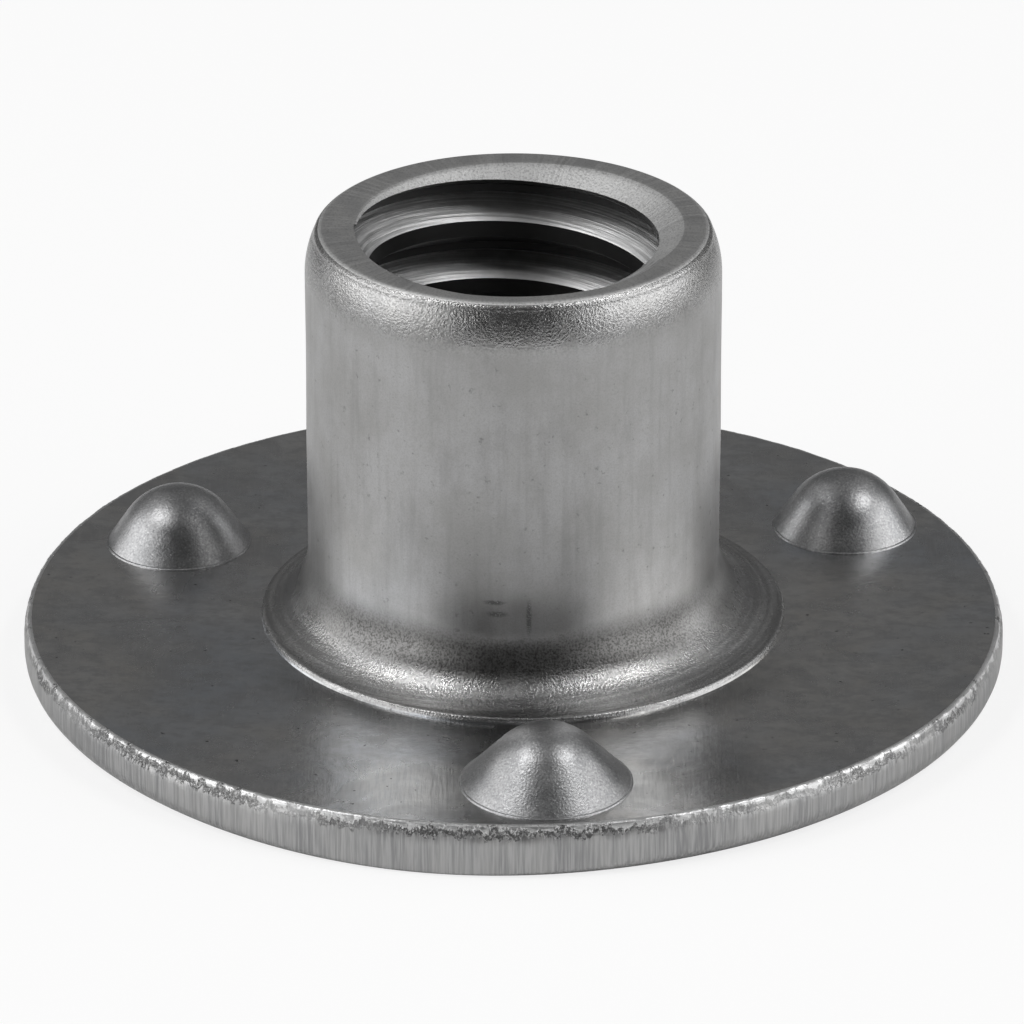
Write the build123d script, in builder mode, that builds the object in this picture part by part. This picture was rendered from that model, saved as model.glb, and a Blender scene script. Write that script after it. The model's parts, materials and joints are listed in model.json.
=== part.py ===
"""Projection weld nut: a tapped barrel drawn up from a round flange, formed from one piece of steel.

Three weld projections stand on the barrel side of the flange, with the punch dimples that raised
them below. Lengths are in millimetres and angles in degrees. The origin is the centre of the
flange's underside, and +Z runs up the barrel.
"""
import os
from math import acos, atan2, cos, hypot, radians, sin, sqrt, tan

from build123d import *

# Flange, blanked from sheet
flange_diameter = 22.225
flange_thickness = 1.2
edge_roll_radius = 0.25
tear_height = 0.28
tear_lean = 0.05

# Barrel, drawn up from the flange and faced flat at its rim
bore_diameter = 6.5
barrel_wall = 1.405
barrel_height = 9.36
fillet_width = 1.35
fillet_height = 1.47
fillet_sweep = 82.0
fillet_sections = 8
nose_radius = 2.15
nose_inset = 0.29
mouth_radius = 1.4

# Countersink of the rim, a little off the barrel's axis
countersink_width = 0.43
countersink_angle = 120.0
countersink_offset_x = 0.12
countersink_offset_y = 0.05
countersink_floor_share = 0.6

# Coining die, which struck the shelf and the projections a little off the barrel's axis
die_offset_x = 0.22
die_offset_y = -0.17
shelf_radius = 5.92
shelf_height = 0.13

# Weld projections, each a rounded cone on a low collar
projection_count = 3
projection_start_angle = -86.8
projection_inset = 2.38
projection_diameter = 3.8
projection_height = 1.33
projection_tip_radius = 1.44
collar_width = 0.05
collar_height = 0.04

# Punch dimples under the projections
dimple_diameter = 2.6
dimple_depth = 0.95
dimple_tip_radius = 0.6

# Sizes that follow from the ones above
flange_radius = flange_diameter / 2
bore_radius = bore_diameter / 2
barrel_radius = bore_radius + barrel_wall
rim_radius = barrel_radius - nose_inset
rim_level = flange_thickness + barrel_height
nose_depth = sqrt(nose_radius**2 - (nose_radius - nose_inset) ** 2)
shelf_level = flange_thickness + shelf_height
fillet_reach = fillet_width * (1 - cos(radians(fillet_sweep)))
fillet_top_level = shelf_level + fillet_height * sin(radians(fillet_sweep))
mouth_edge_radius = bore_radius + mouth_radius
countersink_radius = bore_radius + countersink_width
countersink_floor_radius = countersink_radius * countersink_floor_share
countersink_depth = (countersink_radius - countersink_floor_radius) / tan(radians(countersink_angle / 2))
projection_circle_radius = flange_radius - projection_inset
collar_radius = projection_diameter / 2
cone_radius = collar_radius - collar_width
dimple_radius = dimple_diameter / 2


def tip_start(base_radius, rise, tip_radius):
    """Give the radius and height at which a straight flank runs tangent into a round tip."""
    tip_centre = rise - tip_radius
    slope = atan2(base_radius, -tip_centre) - acos(tip_radius / hypot(base_radius, tip_centre))
    return tip_radius * sin(slope), tip_centre + tip_radius * cos(slope)


# Section of one weld projection, turned about its own axis
cone_rise = projection_height - collar_height
tip_x, tip_z = tip_start(cone_radius, cone_rise, projection_tip_radius)
with BuildPart() as projection:
    with BuildSketch(Plane.XZ):
        with BuildLine():
            Polyline((0, projection_height), (0, 0), (collar_radius, 0), (collar_radius, collar_height))
            Line((collar_radius, collar_height), (cone_radius, collar_height))
            flank = Line((cone_radius, collar_height), (tip_x, collar_height + tip_z))
            TangentArc(flank @ 1, (0, projection_height), tangent=flank % 1)
        make_face()
    revolve(axis=Axis.Z)

# Section of one punch dimple, a smaller rounded cone
pit_x, pit_z = tip_start(dimple_radius, dimple_depth, dimple_tip_radius)
with BuildPart() as dimple:
    with BuildSketch(Plane.XZ):
        with BuildLine():
            Polyline((0, dimple_depth), (0, 0), (dimple_radius, 0))
            pit_flank = Line((dimple_radius, 0), (pit_x, pit_z))
            TangentArc(pit_flank @ 1, (0, dimple_depth), tangent=pit_flank % 1)
        make_face()
    revolve(axis=Axis.Z)

with BuildPart() as weld_nut:
    # Section of the flange, with the round and the tear of its sheared edge
    with BuildSketch(Plane.XZ):
        with BuildLine():
            underside = Line((0, 0), (flange_radius - edge_roll_radius, 0))
            TangentArc(underside @ 1, (flange_radius, edge_roll_radius), tangent=underside % 1)
            Polyline(
                (flange_radius, edge_roll_radius),
                (flange_radius, flange_thickness - tear_height),
                (flange_radius - tear_lean, flange_thickness),
                (0, flange_thickness),
                (0, 0),
            )
        make_face()
    revolve(axis=Axis.Z)

    # Shelf that the die coined round the foot of the barrel
    with BuildSketch(Plane.XY.offset(flange_thickness)):
        with Locations((die_offset_x, die_offset_y)):
            Circle(shelf_radius)
    extrude(amount=shelf_height)

    # Elliptical fillet from the shelf up to the wall, whose centre moves over from the die's to the barrel's
    for section in range(fillet_sections + 1):
        slope = radians(fillet_sweep) * (1 - section / fillet_sections)
        reach = fillet_width * (1 - cos(slope))
        share = reach / fillet_reach
        with BuildSketch(Plane.XY.offset(fillet_top_level - fillet_height * sin(slope))):
            with Locations((die_offset_x * share, die_offset_y * share)):
                Circle(barrel_radius + reach)
    loft()

    # Section of the barrel above its fillet, up to the rounded nose and the flat rim
    with BuildSketch(Plane.XZ):
        with BuildLine():
            Polyline((0, rim_level), (0, fillet_top_level), (barrel_radius, fillet_top_level))
            wall = Line((barrel_radius, fillet_top_level), (barrel_radius, rim_level - nose_depth))
            TangentArc(wall @ 1, (rim_radius, rim_level), tangent=wall % 1)
            Line((rim_radius, rim_level), (0, rim_level))
        make_face()
    revolve(axis=Axis.Z)

    # Bore, with the rounded mouth that the draw left below
    with BuildSketch(Plane.XZ):
        with BuildLine():
            Polyline((mouth_edge_radius, 0), (0, 0), (0, rim_level), (bore_radius, rim_level))
            bore_wall = Line((bore_radius, rim_level), (bore_radius, mouth_radius))
            TangentArc(bore_wall @ 1, (mouth_edge_radius, 0), tangent=bore_wall % 1)
        make_face()
    revolve(axis=Axis.Z, mode=Mode.SUBTRACT)

    # Projections on the upper face, and the dimples below them
    with Locations((die_offset_x, die_offset_y, flange_thickness)):
        with PolarLocations(projection_circle_radius, projection_count, start_angle=projection_start_angle):
            add(projection.part)
    with Locations((die_offset_x, die_offset_y)):
        with PolarLocations(projection_circle_radius, projection_count, start_angle=projection_start_angle):
            add(dimple.part, mode=Mode.SUBTRACT)

    # Countersink that opens the bore at the rim
    with Locations((countersink_offset_x, countersink_offset_y, rim_level)):
        Cone(
            countersink_floor_radius,
            countersink_radius,
            countersink_depth,
            align=(Align.CENTER, Align.CENTER, Align.MAX),
            mode=Mode.SUBTRACT,
        )

os.makedirs("parts", exist_ok=True)
weld_nut.part.label = "weld_nut"
export_step(weld_nut.part, "parts/weld_nut.step")
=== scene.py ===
"""Looks of the projection weld nut: drawn, coined, sheared and tapped steel on a white table.

Lengths are in millimetres until a mesh, lamp or camera is made, where MM turns them into metres.
"""
import json
import math
import random

import bmesh
import bpy
import numpy as np
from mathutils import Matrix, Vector, geometry, noise


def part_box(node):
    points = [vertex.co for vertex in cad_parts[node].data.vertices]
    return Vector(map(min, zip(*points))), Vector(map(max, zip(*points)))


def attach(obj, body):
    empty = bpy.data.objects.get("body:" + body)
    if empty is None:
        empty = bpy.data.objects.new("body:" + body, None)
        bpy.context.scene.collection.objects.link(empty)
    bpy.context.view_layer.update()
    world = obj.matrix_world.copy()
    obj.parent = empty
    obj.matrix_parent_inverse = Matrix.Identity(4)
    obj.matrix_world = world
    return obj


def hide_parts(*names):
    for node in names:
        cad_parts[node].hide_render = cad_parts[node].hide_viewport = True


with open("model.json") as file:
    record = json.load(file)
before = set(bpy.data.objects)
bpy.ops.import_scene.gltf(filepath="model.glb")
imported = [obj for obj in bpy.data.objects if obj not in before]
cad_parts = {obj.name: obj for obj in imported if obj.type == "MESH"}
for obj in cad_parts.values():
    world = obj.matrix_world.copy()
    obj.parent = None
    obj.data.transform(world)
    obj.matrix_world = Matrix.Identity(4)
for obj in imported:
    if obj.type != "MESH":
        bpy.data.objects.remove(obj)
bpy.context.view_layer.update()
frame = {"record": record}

MM = 0.001
TURN = 2 * math.pi
random.seed(18)

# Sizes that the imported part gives
mounts = {mount["name"]: mount for mount in frame["record"]["mounts"]}
high_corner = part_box("weld_nut")[1]
FLANGE_RADIUS = high_corner[0] / MM
RIM_LEVEL = high_corner[2] / MM
BORE_RADIUS = mounts["thread"]["dims"]["r_mm"]
BARREL_RADIUS = mounts["barrel"]["dims"]["r_mm"]
PROJECTION_CIRCLE_RADIUS = mounts["weld_projections"]["dims"]["pcd_mm"] / 2
PROJECTION_COUNT = mounts["weld_projections"]["dims"]["count"]
DIE_CENTRE = (mounts["weld_projections"]["pos_m"][0] / MM, mounts["weld_projections"]["pos_m"][1] / MM)
TIP_LEVEL = mounts["weld_projections"]["pos_m"][2] / MM

# Other sizes of the solid that this skin follows
FLANGE_LEVEL = 1.2
TEAR_HEIGHT = 0.28
TEAR_LEAN = 0.05
FILLET_WIDTH = 1.35
FILLET_HEIGHT = 1.47
FILLET_SWEEP = math.radians(82)
NOSE_RADIUS = 2.15
NOSE_INSET = 0.29
MOUTH_RADIUS = 1.4
COUNTERSINK_RADIUS = 3.68
COUNTERSINK_CENTRE = (0.12, 0.05)
COUNTERSINK_HALF_ANGLE = math.radians(60)
SHELF_RADIUS = 5.92
SHELF_HEIGHT = 0.13
PROJECTION_START_ANGLE = math.radians(-86.8)
COLLAR_RADIUS = 1.9
COLLAR_HEIGHT = 0.04
COLLAR_WIDTH = 0.05
TIP_RADIUS = 1.44
DIMPLE_RADIUS = 1.3
DIMPLE_DEPTH = 0.95
DIMPLE_TIP_RADIUS = 0.6

# Sizes of this skin alone: slope at the shelf's foot, and the narrower, shifted projections at the back
SHELF_SLOPE_WIDTH = 0.03
BACK_COLLAR_RADIUS = 1.68
BACK_SHIFTS = ((0.16, -0.2), (-0.16, -0.24))

# Round at the foot of the sheared edge, smaller about the angle in degrees where the blank sheared last
EDGE_ROLL_WIDEST = 0.5
EDGE_ROLL_LOSS = 0.42
SHEARED_LAST_ANGLE = -100
SHEARED_LAST_SPREAD = 28

# Thread: right-hand, cut from the minor radius of the bore out to its major radius
PITCH = 1.411
MAJOR_RADIUS = 3.97
ROOT_FLAT = 0.18
FLANK_ANGLE = math.radians(30)
THREAD_EXIT_ANGLE = math.radians(278)

# Sizes that follow
SHELF_LEVEL = FLANGE_LEVEL + SHELF_HEIGHT
NOSE_DEPTH = math.sqrt(NOSE_RADIUS**2 - (NOSE_RADIUS - NOSE_INSET) ** 2)
RIM_RADIUS = BARREL_RADIUS - NOSE_INSET
FILLET_REACH = FILLET_WIDTH * (1 - math.cos(FILLET_SWEEP))
FILLET_TOP_LEVEL = SHELF_LEVEL + FILLET_HEIGHT * math.sin(FILLET_SWEEP)
NOSE_LEVEL = RIM_LEVEL - NOSE_DEPTH
MOUTH_EDGE_RADIUS = BORE_RADIUS + MOUTH_RADIUS
GROOVE_HALF_WIDTH = ROOT_FLAT / 2 + (MAJOR_RADIUS - BORE_RADIUS) * math.tan(FLANK_ANGLE)

# Fineness of the mesh
AROUND = 384
PROJECTION_AROUND = 96
EDGE_AROUND = 1200
FLOOR_AROUND = 96
GRID_STEP = 0.3
SHARP_ANGLE = math.radians(38)
ANGLES = [TURN * step / AROUND for step in range(AROUND)]

# Ends of the tapped wall: depth within which the countersink can be wider, and level of the mouth's lip
COUNTERSINK_REACH = 0.4
MOUTH_LIP_LEVEL = 0.15

# Table, a little below the nut so that no two faces lie in one plane
FLOOR_RADIUS = 60
FLOOR_GAP = 0.02

# Painted shade round the barrel's foot: levels where it comes in above and goes out below, and distances
# across at which it thins out to the sides
FOOT_SHADE_ABOVE = (3.05, 2.3)
FOOT_SHADE_BELOW = (1.95, 1.6)
FOOT_SHADE_SIDES = (4.8, 3.4)

# Painted shade on the barrel's front, low down: centre and reach along each axis
FRONT_SHADE = ((0, -4.65, 2.9), (2.4, 1.5, 1.1))

# Short dark scuffs on the barrel's front, low down: centre and reach along each axis
SCUFFS = (
    ((-0.42, -4.65, 3.48), (0.32, 0.6, 0.08)),
    ((-0.36, -4.65, 3.2), (0.3, 0.6, 0.1)),
    ((0.34, -4.65, 3.1), (0.09, 0.6, 0.55)),
)

# Patches of the flange on either side of the front projection, rubbed rougher and lightened by a painted
# reflection: centre and reach along each axis
RUBBED_REFLECTION_PATCHES = (
    ((-2.2, -9.2, 1.2), (1.9, 1.9, 1.0)),
    ((2.8, -9.3, 1.2), (0.9, 1.3, 1.0)),
)

# Dark stain of the flange to the right of the front projection: centre and reach along each axis
STAIN = ((4.1, -8.4, 1.2), (1.9, 2.1, 1.0))

# Places along Y at which two marks come in towards the front: painted shade round the shelf, and the torn
# edge
SHELF_SHADE_FRONT = (-2.0, -5.0)
FRONT_TEAR = (-10.3, -10.9)

# Kinds of surface, in the order in which build_nut makes their steels
ZONES = ("skin", "flange", "rim", "thread", "edge", "projection")


class Shell:
    """Points and faces of one closed skin, gathered loop by loop."""

    def __init__(self):
        self.points = []
        self.faces = []
        self.zones = []

    def point(self, x, y, z):
        """Add one point, and give its index."""
        self.points.append((x, y, z))
        return len(self.points) - 1

    def loop(self, points):
        """Add a run of points, and give their indices."""
        return [self.point(*point) for point in points]

    def face(self, corners, zone):
        """Add one face, without the corners that have run together."""
        kept = [corner for place, corner in enumerate(corners) if corner != corners[place - 1]]
        if len(set(kept)) >= 3:
            self.faces.append(kept)
            self.zones.append(ZONES.index(zone))

    def bridge(self, first, second, zone):
        """Join two closed loops of equal count with a band of faces."""
        for place in range(len(first)):
            before = place - 1
            self.face((first[before], first[place], second[place], second[before]), zone)

    def stack(self, first, points, zone):
        """Run on from a loop to one more ring of points, and give its loop."""
        following = self.loop(points)
        self.bridge(first, following, zone)
        return following

    def close(self, loop, point, zone):
        """Close a loop with a fan to one point."""
        tip = self.point(*point)
        for place in range(len(loop)):
            self.face((loop[place - 1], loop[place], tip), zone)

    def fill(self, loops, inner_points, keeps, zone):
        """Fill the flat space between loops with triangles whose middles the test keeps."""
        indices = [index for loop in loops for index in loop]
        edges = []
        start = 0
        for loop in loops:
            edges += [(start + place, start + (place + 1) % len(loop)) for place in range(len(loop))]
            start += len(loop)
        indices += self.loop(inner_points)
        flat = [Vector(self.points[index][:2]) for index in indices]
        triangles = geometry.delaunay_2d_cdt(flat, edges, [], 0, 1e-6)
        corners, found, sources = triangles[0], triangles[2], triangles[3]
        for triangle in found:
            middle = sum((corners[corner] for corner in triangle), Vector((0, 0))) / 3
            if keeps(middle.x, middle.y):
                self.face([indices[sources[corner][0]] for corner in triangle], zone)


def ring(radius, level, centre=(0, 0), count=AROUND):
    """Points of one level circle."""
    angles = [TURN * step / count for step in range(count)]
    return [(centre[0] + radius * math.cos(a), centre[1] + radius * math.sin(a), level) for a in angles]


def spread(start, end, count):
    """Values from start to end, without the start."""
    return [start + (end - start) * step / count for step in range(1, count + 1)]


def waver(x, y, z, size, depth):
    """Slow unevenness of a pressed surface: a smooth random height at a place."""
    return depth * noise.noise(Vector((x, y, z)) / size)


def thread_radius(angle, level):
    """Radius of the tapped wall, from the crest at the bore out to the root of the groove."""
    middle = RIM_LEVEL + PITCH * (angle - THREAD_EXIT_ANGLE) / TURN
    away = np.abs((level - middle + PITCH / 2) % PITCH - PITCH / 2)
    flank = MAJOR_RADIUS - (away - ROOT_FLAT / 2) / math.tan(FLANK_ANGLE)
    return np.clip(flank, BORE_RADIUS, MAJOR_RADIUS)


def countersink_wall(angle, level):
    """Radius of the countersink, which sits a little off the axis."""
    cone = COUNTERSINK_RADIUS - (RIM_LEVEL - level) * math.tan(COUNTERSINK_HALF_ANGLE)
    along = COUNTERSINK_CENTRE[0] * np.cos(angle) + COUNTERSINK_CENTRE[1] * np.sin(angle)
    across = COUNTERSINK_CENTRE[0] * np.sin(angle) - COUNTERSINK_CENTRE[1] * np.cos(angle)
    return along + np.sqrt(cone**2 - across**2)


def mouth_wall(level):
    """Radius of the rounded mouth of the bore at the underside."""
    drop = np.clip(MOUTH_RADIUS - level, 0, MOUTH_RADIUS)
    return BORE_RADIUS + MOUTH_RADIUS - np.sqrt(MOUTH_RADIUS**2 - drop**2)


def runout(angle, levels):
    """Give the first of the levels at which the tapped wall is as wide as the countersink."""
    wide = thread_radius(angle, levels) >= countersink_wall(angle, levels) - 1e-9
    return float(levels[int(np.argmax(wide))])


def tapped_wall(angle, level):
    """Radius of the widest of thread, countersink and mouth, and whether the thread passes the mouth."""
    thread = float(thread_radius(angle, level))
    mouth = float(mouth_wall(level))
    widest = max(thread, mouth)
    if level > RIM_LEVEL - COUNTERSINK_REACH:
        widest = max(widest, float(countersink_wall(angle, level)))
    return widest, thread >= mouth - 1e-6


def polar(radius, angle, level):
    """Point at a radius and an angle round the axis."""
    return (radius * math.cos(angle), radius * math.sin(angle), level)


def add_bore(shell):
    """Tapped wall with its countersink above and rounded mouth below: gives the rim and mouth loops."""
    cone_steps, mouth_steps = 6, 4
    search_depth, search_step = 0.6, 0.003
    sliver = 0.012
    shortest_cone = 3 * sliver
    cone_top = RIM_LEVEL - 1.6 * sliver
    crest_round = 0.025
    flank_shares = (0.33, 0.66)
    half_flat = ROOT_FLAT / 2
    top_levels = np.arange(RIM_LEVEL, RIM_LEVEL - search_depth, -search_step)
    breaks = [0.0, half_flat, GROOVE_HALF_WIDTH - crest_round, GROOVE_HALF_WIDTH + sliver]
    breaks += [half_flat + share * (GROOVE_HALF_WIDTH - half_flat) for share in flank_shares]
    breaks = sorted([-value for value in breaks if value > 0] + breaks + [PITCH / 2])
    turns_below, turns_above = int(RIM_LEVEL / PITCH) + 3, 2
    rows = [turn * PITCH + value for turn in range(-turns_below, turns_above) for value in breaks]
    rim, mouth, columns = [], [], []
    for angle in ANGLES:
        top = runout(angle, top_levels)
        rim_radius = max(float(thread_radius(angle, RIM_LEVEL)), float(countersink_wall(angle, RIM_LEVEL)))
        upper = [shell.point(*polar(rim_radius, angle, RIM_LEVEL - sliver))]
        for share in spread(0, 1, cone_steps):
            level = cone_top + (top - cone_top) * share
            if RIM_LEVEL - top < shortest_cone:
                upper.append(upper[0])
            else:
                upper.append(shell.point(*polar(float(countersink_wall(angle, level)), angle, level)))
        lower = [shell.point(*polar(MOUTH_EDGE_RADIUS, angle, 0))]
        for share in spread(0, 1, mouth_steps):
            level = MOUTH_LIP_LEVEL * share**2
            lower.append(shell.point(*polar(float(mouth_wall(level)), angle, level)))
        column = []
        start = RIM_LEVEL + PITCH * (angle - THREAD_EXIT_ANGLE) / TURN
        for row in rows:
            level = start + row
            if level > top - sliver:
                column.append((upper[-1], True))
            elif level < MOUTH_LIP_LEVEL + sliver:
                column.append((lower[-1], False))
            else:
                radius, threaded = tapped_wall(angle, level)
                column.append((shell.point(*polar(radius, angle, level)), threaded))
        rim.append(upper)
        mouth.append(lower)
        columns.append(column)
    for place in range(AROUND):
        following = (place + 1) % AROUND
        ahead = columns[following]
        if following == 0:
            ahead = ahead[len(breaks):] + [(rim[0][-1], True)] * len(breaks)
        here = columns[place]
        for row in range(len(rows) - 1):
            corners = (here[row], ahead[row], ahead[row + 1], here[row + 1])
            zone = "thread" if any(threaded for index, threaded in corners) else "flange"
            shell.face([index for index, threaded in corners], zone)
        for row in range(cone_steps):
            near, far = rim[place], rim[following]
            shell.face((near[row], far[row], far[row + 1], near[row + 1]), "rim")
        for row in range(mouth_steps):
            near, far = mouth[place], mouth[following]
            shell.face((near[row], far[row], far[row + 1], near[row + 1]), "flange")
    return [upper[0] for upper in rim], [lower[0] for lower in mouth]


def wavy_ring(radius, level, centre=(0, 0), depth=0.012, size=2.2):
    """Ring of the barrel whose radius wanders a little, as a drawn wall does."""
    points = []
    for angle in ANGLES:
        x, y, _ = polar(radius, angle, level)
        x, y, _ = polar(radius + waver(x, y, level, size, depth), angle, level)
        points.append((x + centre[0], y + centre[1], level))
    return points


def add_barrel(shell, rim):
    """Faced rim, rounded nose, wall, fillet and shelf: gives the loop at the foot of the shelf."""
    nose_steps, wall_steps, fillet_steps = 12, 18, 18
    edge_round, edge_steps, faced_steps = 0.28, 7, 4
    nose_turn = 0.04
    rim_shares = (0.14, 0.35, 0.8)
    shelf_rows = ((0.05, 0.0), (0.02, 0.02), (0.0, 0.055), (-0.01, 0.09))
    steepest = math.asin(NOSE_DEPTH / NOSE_RADIUS)
    flat_radius = RIM_RADIUS - edge_round * math.tan((math.pi / 2 - steepest) / 2)
    loop = rim
    for share in rim_shares:
        points = []
        for index, angle in zip(rim, ANGLES):
            inner = math.hypot(*shell.points[index][:2])
            points.append(polar(inner + (flat_radius - inner) * share, angle, RIM_LEVEL))
        loop = shell.stack(loop, points, "rim")
    loop = shell.stack(loop, ring(flat_radius, RIM_LEVEL), "rim")
    for step, slope in enumerate(spread(math.pi / 2, steepest, edge_steps)):
        radius = flat_radius + edge_round * math.cos(slope)
        turned = wavy_ring(radius, RIM_LEVEL - edge_round * (1 - math.sin(slope)))
        loop = shell.stack(loop, turned, "rim" if step < faced_steps else "skin")
    centre_radius = BARREL_RADIUS - NOSE_RADIUS
    for slope in spread(steepest - nose_turn, 0, nose_steps):
        radius = centre_radius + NOSE_RADIUS * math.cos(slope)
        level = NOSE_LEVEL + NOSE_RADIUS * math.sin(slope)
        loop = shell.stack(loop, wavy_ring(radius, level), "skin")
    for level in spread(NOSE_LEVEL, FILLET_TOP_LEVEL, wall_steps):
        loop = shell.stack(loop, wavy_ring(BARREL_RADIUS, level), "skin")
    for slope in spread(0, FILLET_SWEEP, fillet_steps):
        reach = FILLET_WIDTH * (1 - math.cos(slope))
        share = reach / FILLET_REACH
        centre = (DIE_CENTRE[0] * share, DIE_CENTRE[1] * share)
        level = FILLET_TOP_LEVEL - FILLET_HEIGHT * math.sin(slope)
        loop = shell.stack(loop, wavy_ring(BARREL_RADIUS + reach, level, centre), "skin")
    for inset, drop in shelf_rows:
        loop = shell.stack(loop, wavy_ring(SHELF_RADIUS - inset, SHELF_LEVEL - drop, DIE_CENTRE), "skin")
    foot = ring(SHELF_RADIUS + SHELF_SLOPE_WIDTH, FLANGE_LEVEL, DIE_CENTRE)
    return shell.stack(loop, foot, "flange")


def tip_start(base_radius, rise, tip_radius):
    """Radius and height at which a straight flank runs tangent into a round tip, and the slope there."""
    tip_centre = rise - tip_radius
    slope = math.atan2(base_radius, -tip_centre)
    slope -= math.acos(tip_radius / math.hypot(base_radius, tip_centre))
    return tip_radius * math.sin(slope), tip_centre + tip_radius * math.cos(slope), slope


def rounded_cone(base_radius, rise, tip_radius, flank_steps, tip_steps):
    """Radii and heights up a rounded cone, from its base to just short of its tip."""
    tip_x, tip_z, slope = tip_start(base_radius, rise, tip_radius)
    rows = []
    for share in spread(0, 1, flank_steps):
        rows.append((base_radius + (tip_x - base_radius) * share, tip_z * share))
    for angle in spread(slope, 0, tip_steps)[:-1]:
        rows.append((tip_radius * math.sin(angle), rise - tip_radius + tip_radius * math.cos(angle)))
    return rows


def projection_centre(step, shift=(0, 0)):
    """Centre of one projection or dimple, moved by a shift."""
    angle = PROJECTION_START_ANGLE + TURN * step / PROJECTION_COUNT
    x, y, _ = polar(PROJECTION_CIRCLE_RADIUS, angle, 0)
    return DIE_CENTRE[0] + x + shift[0], DIE_CENTRE[1] + y + shift[1]


def add_projection(shell, centre, collar_radius):
    """One weld projection on its collar: gives the loop at its foot."""
    count = PROJECTION_AROUND
    foot = shell.loop(ring(collar_radius, FLANGE_LEVEL, centre, count))
    collar_level = FLANGE_LEVEL + COLLAR_HEIGHT
    cone_radius = collar_radius - COLLAR_WIDTH
    lip_rows = ((0.1, 0.5), (0.4, 0.85), (0.7, 1.0), (1.0, 1.0))
    loop = foot
    for inset, share in lip_rows:
        lip = ring(collar_radius - COLLAR_WIDTH * inset, FLANGE_LEVEL + COLLAR_HEIGHT * share, centre, count)
        loop = shell.stack(loop, lip, "projection")
    rise = TIP_LEVEL - collar_level
    for radius, height in rounded_cone(cone_radius, rise, TIP_RADIUS, flank_steps=8, tip_steps=10):
        loop = shell.stack(loop, ring(radius, collar_level + height, centre, count), "projection")
    shell.close(loop, (centre[0], centre[1], TIP_LEVEL), "projection")
    return foot


def add_dimple(shell, centre):
    """One punch dimple in the underside: gives the loop at its mouth."""
    count = PROJECTION_AROUND
    mouth = shell.loop(ring(DIMPLE_RADIUS, 0, centre, count))
    loop = mouth
    rows = rounded_cone(DIMPLE_RADIUS, DIMPLE_DEPTH, DIMPLE_TIP_RADIUS, flank_steps=6, tip_steps=8)
    for radius, height in rows:
        loop = shell.stack(loop, ring(radius, height, centre, count), "flange")
    shell.close(loop, (centre[0], centre[1], DIMPLE_DEPTH), "flange")
    return mouth


def edge_roll(angle):
    """Size of the round at the foot of the edge: small at the front left, where the blank sheared last."""
    away = (math.degrees(angle) - SHEARED_LAST_ANGLE + 180) % 360 - 180
    return EDGE_ROLL_WIDEST - EDGE_ROLL_LOSS * math.exp(-((away / SHEARED_LAST_SPREAD) ** 2))


def add_edge(shell):
    """Sheared edge of the flange, torn above and burnished below: gives its top and bottom loops."""
    lip_width, lip_rise = 0.13, 0.012
    tear_depth, tear_drop, tear_inset = 0.02, 0.012, 0.01
    burnish_steps, roll_steps = 4, 6
    burnish_level = FLANGE_LEVEL - TEAR_HEIGHT - 0.03
    angles = [TURN * step / EDGE_AROUND for step in range(EDGE_AROUND)]
    top = shell.loop(ring(FLANGE_RADIUS - TEAR_LEAN - lip_width, FLANGE_LEVEL, count=EDGE_AROUND))
    loop = top
    tear_rows = ((lip_width * 0.6, 0.0, 0.3), (lip_width * 0.2, 0.1, 0.5), (0.0, 0.28, 0.8))
    tear_rows += ((-TEAR_LEAN * 0.3, 0.5, 1.0), (-TEAR_LEAN * 0.6, 0.75, 1.0), (-TEAR_LEAN, 1.0, 0.5))
    for inset, share, rough in tear_rows:
        points = []
        for angle in angles:
            x, y, _ = polar(FLANGE_RADIUS, angle, 0)
            depth = tear_depth * random.random() + waver(x, y, share * 3, size=0.35, depth=0.02)
            depth = rough * (depth + tear_inset)
            drop = rough * (tear_drop * random.random() + waver(y, x, share, size=0.5, depth=0.02))
            level = FLANGE_LEVEL - TEAR_HEIGHT * share - drop
            radius = FLANGE_RADIUS - TEAR_LEAN - inset - max(depth, 0)
            points.append(polar(min(radius, FLANGE_RADIUS), angle, min(level, FLANGE_LEVEL + lip_rise)))
        loop = shell.stack(loop, points, "edge")
    for share in spread(0, 1, burnish_steps):
        points = []
        for angle in angles:
            level = burnish_level + (edge_roll(angle) - burnish_level) * share
            points.append(polar(FLANGE_RADIUS, angle, level))
        loop = shell.stack(loop, points, "edge")
    for slope in spread(0, math.pi / 2, roll_steps):
        points = []
        for angle in angles:
            roll = edge_roll(angle)
            radius = FLANGE_RADIUS - roll * (1 - math.cos(slope))
            points.append(polar(radius, angle, roll * (1 - math.sin(slope))))
        loop = shell.stack(loop, points, "edge")
    return top, loop


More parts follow.
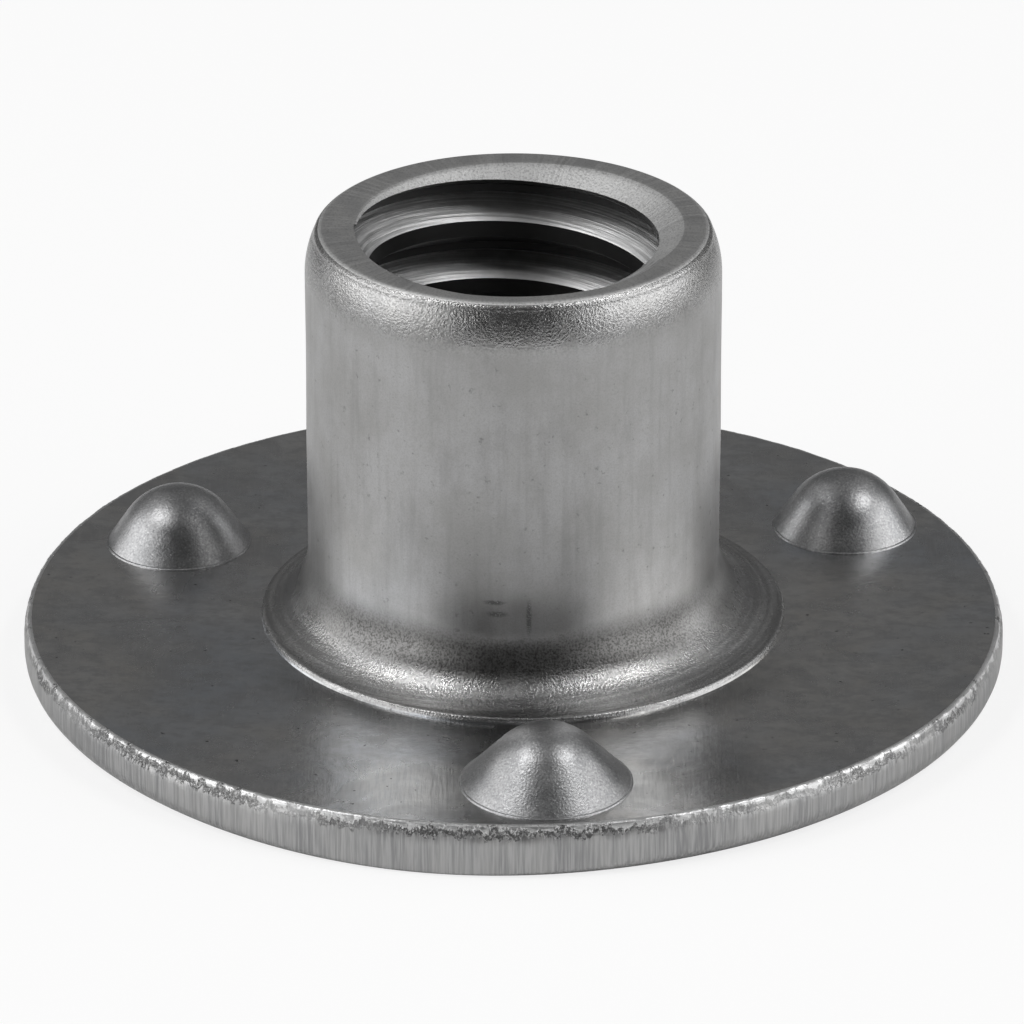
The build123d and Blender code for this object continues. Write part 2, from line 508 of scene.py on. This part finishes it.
def add_flange(shell, shelf_foot, mouth):
    """Both faces of the flange, with the projections, the dimples and the sheared edge."""
    top_edge, low_edge = add_edge(shell)
    collars = [(projection_centre(0), COLLAR_RADIUS)]
    for step, shift in enumerate(BACK_SHIFTS, start=1):
        collars.append((projection_centre(step, shift), BACK_COLLAR_RADIUS))
    dimples = [(projection_centre(step), DIMPLE_RADIUS) for step in range(PROJECTION_COUNT)]
    feet = [add_projection(shell, centre, radius) for centre, radius in collars]
    pits = [add_dimple(shell, centre) for centre, _ in dimples]
    shelf_gap, edge_gap, collar_gap = 0.7, 0.3, 0.12

    def clear_of(x, y, circles, gap):
        return all(math.hypot(x - cx, y - cy) > radius + gap for (cx, cy), radius in circles)

    def on_top(x, y):
        from_die = math.hypot(x - DIE_CENTRE[0], y - DIE_CENTRE[1])
        return from_die > SHELF_RADIUS + SHELF_SLOPE_WIDTH and clear_of(x, y, collars, 0)

    def below(x, y):
        return math.hypot(x, y) > MOUTH_EDGE_RADIUS and clear_of(x, y, dimples, 0)

    grid = []
    for radius in np.arange(SHELF_RADIUS + shelf_gap, FLANGE_RADIUS - edge_gap, GRID_STEP):
        count = int(TURN * radius / GRID_STEP)
        grid += ring(float(radius), FLANGE_LEVEL, count=count)
    clear = [p for p in grid if on_top(p[0], p[1]) and clear_of(p[0], p[1], collars, collar_gap)]
    surface = [(x, y, level + waver(x, y, 0, size=3.0, depth=0.02)) for x, y, level in clear]
    shell.fill([top_edge, shelf_foot] + feet, surface, on_top, "flange")
    shell.fill([low_edge, mouth] + pits, [], below, "flange")


def node(tree, kind, inputs=None, **settings):
    """New shader node with its settings, and with values or links on its inputs."""
    made = tree.nodes.new(kind)
    for name, value in settings.items():
        setattr(made, name, value)
    for name, value in (inputs or {}).items():
        if isinstance(value, bpy.types.NodeSocket):
            tree.links.new(value, made.inputs[name])
        else:
            made.inputs[name].default_value = value
    return made


def place_mm(tree):
    """Place on the object, in millimetres."""
    coordinates = node(tree, "ShaderNodeTexCoord").outputs["Object"]
    return scaled(tree, coordinates, (1 / MM, 1 / MM, 1 / MM))


def scaled(tree, vector, factors):
    """Vector stretched along each axis."""
    return node(tree, "ShaderNodeVectorMath", {0: vector, 1: factors}, operation="MULTIPLY").outputs[0]


def grain(tree, vector, scale, detail, roughness, distortion=0.0):
    """Noise about one half, finer as the scale grows."""
    inputs = {"Vector": vector, "Scale": scale, "Detail": detail}
    inputs |= {"Roughness": roughness, "Distortion": distortion}
    return node(tree, "ShaderNodeTexNoise", inputs).outputs["Fac"]


def ranged(tree, value, start, end, first=0.0, last=1.0):
    """Smooth change from first to last while the value goes from start to end."""
    inputs = {"Value": value, "From Min": start, "From Max": end, "To Min": first, "To Max": last}
    return node(tree, "ShaderNodeMapRange", inputs, interpolation_type="SMOOTHSTEP").outputs["Result"]


def sums(tree, operation, first, second):
    """Result of one operation on two values."""
    return node(tree, "ShaderNodeMath", {0: first, 1: second}, operation=operation).outputs[0]


def mixed(tree, factor, first, second):
    """Colour between two colours, each a triple or a link."""
    made = node(tree, "ShaderNodeMix", data_type="RGBA")
    for place, value in ((0, factor), (6, first), (7, second)):
        if isinstance(value, bpy.types.NodeSocket):
            tree.links.new(value, made.inputs[place])
        elif place == 0:
            made.inputs[place].default_value = value
        else:
            made.inputs[place].default_value = (*value, 1.0)
    return made.outputs[2]


def bumped(tree, height, depth, normal=None):
    """Bump of a depth in millimetres, on top of another one if given."""
    inputs = {"Height": height, "Distance": depth * MM, "Strength": 1.0}
    if normal is not None:
        inputs["Normal"] = normal
    return node(tree, "ShaderNodeBump", inputs).outputs["Normal"]


def metal(name):
    """New steel material: its tree and its shader."""
    material = bpy.data.materials.new(name)
    material.use_nodes = True
    tree = material.node_tree
    shader = tree.nodes["Principled BSDF"]
    shader.inputs["Metallic"].default_value = 1.0
    return material, tree, shader


def wire(tree, shader, colour, roughness, normal):
    """Link the three things that every steel here paints."""
    tree.links.new(colour, shader.inputs["Base Color"])
    tree.links.new(roughness, shader.inputs["Roughness"])
    tree.links.new(normal, shader.inputs["Normal"])


def split_xyz(tree, vector):
    """Parts of a vector along each axis."""
    return node(tree, "ShaderNodeSeparateXYZ", {0: vector}).outputs


def facing_up(tree):
    """How far a face looks up: 1 for level faces, 0 for upright ones, below 0 for undersides."""
    return split_xyz(tree, node(tree, "ShaderNodeNewGeometry").outputs["True Normal"])["Z"]


def length(tree, vector):
    """Length of a vector."""
    return node(tree, "ShaderNodeVectorMath", {0: vector}, operation="LENGTH").outputs["Value"]


def rings(tree, place, scale):
    """Place that changes fast with the distance from the axis, for lines that run round it."""
    flat = scaled(tree, place, (1.0, 1.0, 0.0))
    radius = length(tree, flat)
    fast = node(tree, "ShaderNodeCombineXYZ", {"X": sums(tree, "MULTIPLY", radius, scale)}).outputs[0]
    slow = scaled(tree, place, (0.4, 0.4, 0.15))
    return node(tree, "ShaderNodeVectorMath", {0: fast, 1: slow}, operation="ADD").outputs[0]


def distance(tree, place, centre, reach):
    """Distance from a centre, in shares of the reach along each axis."""
    apart = node(tree, "ShaderNodeVectorMath", {0: place, 1: centre}, operation="SUBTRACT").outputs[0]
    return length(tree, scaled(tree, apart, tuple(1 / extent for extent in reach)))


def skin_steel():
    """Drawn steel of the barrel: satin wall, stretched grain on the nose and foot, painted shade low down.
    """
    material, tree, shader = metal("drawn_steel")
    place = place_mm(tree)
    axes = split_xyz(tree, place)
    height = axes["Z"]
    nose = ranged(tree, height, NOSE_LEVEL - 0.3, NOSE_LEVEL + 0.3)
    foot = ranged(tree, height, SHELF_LEVEL + 1.1, SHELF_LEVEL + 0.3)
    coarse = sums(tree, "MAXIMUM", nose, foot)
    cloud = grain(tree, place, 0.6, 5.0, 0.65)
    smear = grain(tree, scaled(tree, place, (1.3, 1.3, 0.5)), 1.0, 5.0, 0.65)
    fine = grain(tree, place, 26.0, 3.0, 0.7)
    peel = grain(tree, place, 20.0, 2.0, 0.6)
    colour = mixed(tree, ranged(tree, cloud, 0.3, 0.7), (0.47, 0.467, 0.46), (0.56, 0.56, 0.562))
    colour = mixed(tree, ranged(tree, smear, 0.5, 0.75, 0.0, 0.35), colour, (0.36, 0.355, 0.35))
    colour = mixed(tree, ranged(tree, fine, 0.4, 0.7, 0.0, 0.35), colour, (0.32, 0.315, 0.31))
    streaks = grain(tree, scaled(tree, place, (5.0, 5.0, 0.35)), 1.0, 4.0, 0.65)
    colour = mixed(tree, ranged(tree, streaks, 0.45, 0.75, 0.0, 0.32), colour, (0.34, 0.335, 0.33))
    spots = grain(tree, place, 6.0, 2.5, 0.6)
    colour = mixed(tree, ranged(tree, spots, 0.64, 0.76, 0.0, 0.55), colour, (0.2, 0.198, 0.195))
    # Painted shade round the barrel's foot, thinner to the sides and broken up by the grain
    below = ranged(tree, height, *FOOT_SHADE_BELOW)
    foot_shade = sums(tree, "SUBTRACT", ranged(tree, height, *FOOT_SHADE_ABOVE), below)
    foot_shade = sums(tree, "MULTIPLY", foot_shade, ranged(tree, peel, 0.3, 0.62, 1.0, 0.7))
    across = sums(tree, "ABSOLUTE", axes["X"], 0.0)
    foot_shade = sums(tree, "MULTIPLY", foot_shade, ranged(tree, across, *FOOT_SHADE_SIDES, 0.45, 1.0))
    # Painted shade on the barrel's front, low down, in the same dark colour
    front_shade = ranged(tree, distance(tree, place, *FRONT_SHADE), 1.0, 0.2, 0.0, 0.5)
    colour = mixed(tree, sums(tree, "MAXIMUM", foot_shade, front_shade), colour, (0.09, 0.088, 0.085))
    speck = sums(tree, "MULTIPLY", coarse, ranged(tree, peel, 0.56, 0.40, 0.0, 0.3))
    colour = mixed(tree, speck, colour, (0.1, 0.1, 0.1))
    low = ranged(tree, height, SHELF_LEVEL + 0.5, SHELF_LEVEL + 0.15)
    lines = grain(tree, rings(tree, place, 9.0), 1.0, 3.0, 0.6)
    scored = sums(tree, "MULTIPLY", low, ranged(tree, lines, 0.4, 0.62, 0.5, 0.0))
    colour = mixed(tree, scored, colour, (0.2, 0.2, 0.2))
    for centre, reach in SCUFFS:
        scuff = ranged(tree, distance(tree, place, centre, reach), 1.0, 0.3, 0.0, 0.75)
        scuff = sums(tree, "MULTIPLY", scuff, ranged(tree, fine, 0.36, 0.5))
        colour = mixed(tree, scuff, colour, (0.12, 0.12, 0.12))
    rough = ranged(tree, smear, 0.3, 0.7, 0.35, 0.44)
    rough = sums(tree, "SUBTRACT", rough, sums(tree, "MULTIPLY", coarse, 0.14))
    relief = sums(tree, "MAXIMUM", sums(tree, "MULTIPLY", nose, 1.3), sums(tree, "MAXIMUM", foot, 0.08))
    normal = bumped(tree, sums(tree, "MULTIPLY", peel, relief), 0.012)
    normal = bumped(tree, fine, 0.002, normal)
    wire(tree, shader, colour, rough, normal)
    return material


def projection_steel():
    """Weld projections: the same drawn steel with a finer satin grain."""
    material, tree, shader = metal("projection_steel")
    place = place_mm(tree)
    cloud = grain(tree, place, 1.2, 4.0, 0.6)
    fine = grain(tree, place, 20.0, 2.0, 0.6)
    colour = mixed(tree, ranged(tree, cloud, 0.3, 0.7), (0.34, 0.343, 0.35), (0.46, 0.46, 0.465))
    colour = mixed(tree, ranged(tree, fine, 0.45, 0.68, 0.0, 0.6), colour, (0.24, 0.24, 0.242))
    colour = mixed(tree, ranged(tree, fine, 0.42, 0.28, 0.0, 0.6), colour, (0.68, 0.68, 0.68))
    rough = ranged(tree, cloud, 0.3, 0.7, 0.33, 0.4)
    normal = bumped(tree, fine, 0.007)
    wire(tree, shader, colour, rough, normal)
    return material


def flange_steel():
    """Strip under the die: mottled, with lines, pits, flecks, painted shade round the shelf, a stain and two
    rubbed patches lightened by a painted reflection.
    """
    material, tree, shader = metal("flange_steel")
    place = place_mm(tree)
    forward = split_xyz(tree, place)["Y"]
    cloud = grain(tree, place, 0.4, 6.0, 0.68)
    hue = grain(tree, place, 0.22, 3.0, 0.6)
    swirl = grain(tree, place, 0.6, 6.0, 0.62, distortion=0.7)
    lines = grain(tree, scaled(tree, place, (18.0, 1.2, 4.0)), 1.0, 3.0, 0.6)
    pits = grain(tree, place, 5.0, 2.0, 0.6)
    flecks = grain(tree, place, 11.0, 1.5, 0.5)
    rubbed_reflection = 0.0
    for centre, reach in RUBBED_REFLECTION_PATCHES:
        patch = ranged(tree, distance(tree, place, centre, reach), 1.0, 0.3)
        rubbed_reflection = sums(tree, "MAXIMUM", patch, rubbed_reflection)
    rubbed_reflection = sums(tree, "MULTIPLY", rubbed_reflection, ranged(tree, swirl, 0.35, 0.6, 1.0, 0.6))
    rubbed_reflection = sums(tree, "MULTIPLY", rubbed_reflection, ranged(tree, lines, 0.35, 0.6, 0.5, 1.0))
    # Painted shade in the corner round the shelf, at the front only
    corner = distance(tree, place, (*DIE_CENTRE, FLANGE_LEVEL), (SHELF_RADIUS, SHELF_RADIUS, 1.0))
    shelf_shade = sums(tree, "MULTIPLY", ranged(tree, corner, 1.24, 1.02), ranged(tree, swirl, 0.3, 0.7, 0.5, 0.85))
    shelf_shade = sums(tree, "MULTIPLY", shelf_shade, ranged(tree, forward, *SHELF_SHADE_FRONT))
    colour = mixed(tree, ranged(tree, hue, 0.35, 0.65), (0.53, 0.555, 0.59), (0.63, 0.612, 0.58))
    colour = mixed(tree, ranged(tree, cloud, 0.35, 0.7, 0.0, 0.6), colour, (0.72, 0.72, 0.72))
    colour = mixed(tree, ranged(tree, swirl, 0.38, 0.72, 0.0, 0.8), colour, (0.4, 0.4, 0.405))
    mottle = grain(tree, scaled(tree, place, (2.2, 3.4, 2.0)), 1.0, 6.0, 0.72)
    colour = mixed(tree, ranged(tree, mottle, 0.42, 0.66, 0.0, 0.55), colour, (0.4, 0.402, 0.408))
    colour = mixed(tree, shelf_shade, colour, (0.16, 0.16, 0.16))
    stain = ranged(tree, distance(tree, place, *STAIN), 1.0, 0.3, 0.0, 0.7)
    stain = sums(tree, "MULTIPLY", stain, ranged(tree, swirl, 0.3, 0.6, 0.6, 1.0))
    colour = mixed(tree, stain, colour, (0.2, 0.2, 0.2))
    # Painted reflection: the rubbed patches much lighter
    colour = mixed(tree, sums(tree, "MULTIPLY", rubbed_reflection, 0.9), colour, (0.9, 0.9, 0.89))
    colour = mixed(tree, ranged(tree, lines, 0.45, 0.8, 0.0, 0.35), colour, (0.62, 0.62, 0.62))
    colour = mixed(tree, ranged(tree, pits, 0.70, 0.76), colour, (0.09, 0.09, 0.09))
    colour = mixed(tree, ranged(tree, flecks, 0.72, 0.78), colour, (0.7, 0.7, 0.68))
    rough = sums(tree, "ADD", ranged(tree, swirl, 0.3, 0.7, 0.2, 0.3), sums(tree, "MULTIPLY", rubbed_reflection, 0.1))
    depth = sums(tree, "MULTIPLY", lines, sums(tree, "ADD", sums(tree, "MULTIPLY", rubbed_reflection, 0.3), 0.2))
    normal = bumped(tree, depth, 0.008)
    normal = bumped(tree, pits, 0.004, normal)
    normal = bumped(tree, swirl, 0.006, normal)
    wire(tree, shader, colour, rough, normal)
    return material


def rim_steel():
    """Faced rim and countersink, with fine lines that run outward."""
    material, tree, shader = metal("faced_steel")
    place = place_mm(tree)
    flat = scaled(tree, place, (1.0, 1.0, 0.0))
    outward = node(tree, "ShaderNodeVectorMath", {0: flat}, operation="NORMALIZE").outputs[0]
    lines = grain(tree, outward, 60.0, 3.0, 0.7)
    cloud = grain(tree, place, 1.2, 4.0, 0.6)
    fine = grain(tree, place, 20.0, 2.0, 0.6)
    facing = facing_up(tree)
    colour = mixed(tree, ranged(tree, cloud, 0.3, 0.7), (0.48, 0.48, 0.48), (0.58, 0.577, 0.57))
    colour = mixed(tree, ranged(tree, facing, 0.97, 0.9, 0.0, 0.8), colour, (0.8, 0.8, 0.795))
    colour = mixed(tree, ranged(tree, fine, 0.45, 0.7, 0.0, 0.5), colour, (0.3, 0.3, 0.3))
    rough = ranged(tree, lines, 0.3, 0.7, 0.44, 0.56)
    normal = bumped(tree, lines, 0.008)
    normal = bumped(tree, grain(tree, place, 14.0, 2.0, 0.6), 0.006, normal)
    wire(tree, shader, colour, rough, normal)
    return material


def thread_steel():
    """Tapped wall with cutter lines: painted light on the flanks that face up, painted shade on the crests
    and undersides.
    """
    material, tree, shader = metal("tapped_steel")
    place = place_mm(tree)
    lines = grain(tree, rings(tree, place, 16.0), 1.0, 3.0, 0.6)
    cloud = grain(tree, place, 1.6, 4.0, 0.6)
    facing = facing_up(tree)
    # Painted light and shade by which way a face looks: flanks that face up light, crests and undersides
    # dark
    colour = mixed(tree, ranged(tree, cloud, 0.3, 0.7), (0.76, 0.76, 0.76), (0.95, 0.95, 0.95))
    colour = mixed(tree, ranged(tree, lines, 0.4, 0.65, 0.45, 0.0), colour, (0.3, 0.3, 0.3))
    colour = mixed(tree, ranged(tree, facing, 0.7, 0.3), colour, (0.1, 0.1, 0.1))
    rough = ranged(tree, lines, 0.3, 0.7, 0.4, 0.5)
    normal = bumped(tree, lines, 0.016)
    wire(tree, shader, colour, rough, normal)
    return material


def edge_steel():
    """Sheared edge: upright strokes of the die below, a dark torn band above, and a painted highlight along
    the lip at its top.
    """
    material, tree, shader = metal("sheared_steel")
    place = place_mm(tree)
    axes = split_xyz(tree, place)
    height, forward = axes["Z"], axes["Y"]
    strokes = grain(tree, scaled(tree, place, (19.0, 19.0, 0.7)), 1.0, 3.5, 0.6)
    broad = grain(tree, scaled(tree, place, (1.6, 1.6, 0.4)), 1.0, 3.0, 0.6)
    ragged = grain(tree, scaled(tree, place, (3.5, 3.5, 1.5)), 1.0, 5.0, 0.75)
    broken = grain(tree, place, 14.0, 3.0, 0.7)
    border = sums(tree, "ADD", height, ranged(tree, ragged, 0.3, 0.7, -0.13, 0.13))
    torn = ranged(tree, border, FLANGE_LEVEL - TEAR_HEIGHT, FLANGE_LEVEL - TEAR_HEIGHT + 0.05)
    colour = mixed(tree, ranged(tree, strokes, 0.35, 0.65), (0.33, 0.33, 0.333), (0.52, 0.52, 0.52))
    colour = mixed(tree, ranged(tree, broad, 0.35, 0.7, 0.0, 0.45), colour, (0.56, 0.555, 0.545))
    lip = ranged(tree, border, FLANGE_LEVEL - 0.12, FLANGE_LEVEL - 0.06)
    torn = sums(tree, "MULTIPLY", torn, sums(tree, "SUBTRACT", 1.0, sums(tree, "MULTIPLY", lip, 0.8)))
    slow = grain(tree, scaled(tree, place, (0.35, 0.35, 0.0)), 1.0, 2.0, 0.5)
    patchy = ranged(tree, slow, 0.42, 0.6, 0.15, 0.7)
    patchy = sums(tree, "MAXIMUM", patchy, ranged(tree, forward, *FRONT_TEAR, 0.0, 0.85))
    torn = sums(tree, "MULTIPLY", torn, patchy)
    dark = sums(tree, "MULTIPLY", torn, ranged(tree, broken, 0.6, 0.48))
    # Painted highlight: the lip at the top of the edge much lighter
    colour = mixed(tree, lip, colour, (0.75, 0.75, 0.75))
    colour = mixed(tree, dark, colour, (0.07, 0.07, 0.07))
    rough = ranged(tree, strokes, 0.3, 0.7, 0.34, 0.44)
    rough = sums(tree, "SUBTRACT", rough, sums(tree, "MULTIPLY", torn, 0.12))
    normal = bumped(tree, strokes, 0.005)
    normal = bumped(tree, sums(tree, "MULTIPLY", broken, torn), 0.05, normal)
    wire(tree, shader, colour, rough, normal)
    return material


def build_nut():
    """The whole nut as one closed skin that stands for the solid."""
    shell = Shell()
    rim, mouth = add_bore(shell)
    shelf_foot = add_barrel(shell, rim)
    add_flange(shell, shelf_foot, mouth)
    mesh = bpy.data.meshes.new("weld_nut_skin")
    mesh.from_pydata([Vector(point) * MM for point in shell.points], [], shell.faces)
    steels = (skin_steel(), flange_steel(), rim_steel(), thread_steel(), edge_steel(), projection_steel())
    for material in steels:
        mesh.materials.append(material)
    mesh.polygons.foreach_set("material_index", shell.zones)
    mesh.polygons.foreach_set("use_smooth", [True] * len(shell.faces))
    work = bmesh.new()
    work.from_mesh(mesh)
    bmesh.ops.recalc_face_normals(work, faces=work.faces)
    work.to_mesh(mesh)
    work.free()
    mesh.set_sharp_from_angle(angle=SHARP_ANGLE)
    nut = bpy.data.objects.new("weld_nut_skin", mesh)
    bpy.context.scene.collection.objects.link(nut)
    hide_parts("weld_nut")
    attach(nut, "root")


def build_floor():
    """Round white table that keeps a soft shadow."""
    mesh = bpy.data.meshes.new("floor")
    corners = [Vector(point) * MM for point in ring(FLOOR_RADIUS, -FLOOR_GAP, count=FLOOR_AROUND)]
    mesh.from_pydata(corners, [], [tuple(range(len(corners)))])
    floor = bpy.data.objects.new("floor", mesh)
    bpy.context.scene.collection.objects.link(floor)
    material = bpy.data.materials.new("white_table")
    material.use_nodes = True
    tree = material.node_tree
    matt = tree.nodes["Principled BSDF"]
    matt.inputs["Base Color"].default_value = (0.9, 0.9, 0.9, 1)
    matt.inputs["Roughness"].default_value = 0.9
    matt.inputs["Specular IOR Level"].default_value = 0.0
    glow = node(tree, "ShaderNodeEmission", {"Color": (1, 1, 1, 1), "Strength": 1.06})
    path = node(tree, "ShaderNodeLightPath").outputs
    share = sums(tree, "MULTIPLY", path["Is Camera Ray"], 0.75)
    mix = node(tree, "ShaderNodeMixShader", {0: share, 1: matt.outputs[0], 2: glow.outputs[0]})
    tree.links.new(mix.outputs[0], tree.nodes["Material Output"].inputs["Surface"])
    mesh.materials.append(material)


def add_softbox(name, place, size, power):
    """Area lamp that faces the nut."""
    data = bpy.data.lights.new(name, "AREA")
    data.shape = "RECTANGLE"
    data.size, data.size_y = size[0] * MM, size[1] * MM
    data.energy = power
    lamp = bpy.data.objects.new(name, data)
    lamp.location = Vector(place) * MM
    aim = Vector((0, 0, FLANGE_LEVEL)) * MM - lamp.location
    lamp.rotation_euler = aim.to_track_quat("-Z", "Y").to_euler()
    bpy.context.scene.collection.objects.link(lamp)


def build_light():
    """A softbox high on either side and a pale panel below it, in a grey room that is dark in front."""
    add_softbox("softbox_left", place=(-155, -28, 262), size=(115, 70), power=0.17)
    add_softbox("softbox_right", place=(155, -28, 262), size=(115, 70), power=0.155)
    add_softbox("panel_left", place=(-264, -56, 90), size=(420, 180), power=0.46)
    add_softbox("panel_right", place=(266, -47, 90), size=(390, 180), power=0.4)
    world = bpy.data.worlds.new("studio")
    world.use_nodes = True
    tree = world.node_tree
    way = split_xyz(tree, node(tree, "ShaderNodeTexCoord").outputs["Generated"])
    aside = ranged(tree, sums(tree, "ABSOLUTE", way["X"], 0.0), 0.2, 0.5)
    aside = sums(tree, "MULTIPLY", aside, ranged(tree, way["Z"], 0.4, 0.65))
    grey = mixed(tree, ranged(tree, way["Z"], 0.45, 0.85), (0.15, 0.15, 0.15), (0.2, 0.2, 0.2))
    grey = mixed(tree, aside, grey, (0.5, 0.5, 0.5))
    grey = mixed(tree, ranged(tree, way["Y"], 0.0, -0.5), grey, (0.06, 0.06, 0.06))
    white = mixed(tree, node(tree, "ShaderNodeLightPath").outputs["Is Camera Ray"], grey, (1, 1, 1))
    tree.links.new(white, tree.nodes["Background"].inputs["Color"])
    bpy.context.scene.world = world


def build_camera():
    """Camera at the photograph's distance, height and lens."""
    away = 184.1
    elevation = math.radians(25.42)
    aim = Vector((-0.035, 0, FLANGE_LEVEL + 2.35))
    data = bpy.data.cameras.new("camera")
    data.sensor_width = 36.0
    data.lens = 284.8
    data.clip_start = 1 * MM
    data.clip_end = 5000 * MM
    camera = bpy.data.objects.new("camera", data)
    place = Vector((0, -away * math.cos(elevation), FLANGE_LEVEL + away * math.sin(elevation)))
    camera.location = place * MM
    camera.rotation_euler = (aim - place).to_track_quat("-Z", "Y").to_euler()
    bpy.context.scene.collection.objects.link(camera)
    bpy.context.scene.camera = camera


build_nut()
build_floor()
build_light()
build_camera()
bpy.context.scene.view_settings.view_transform = "Standard"
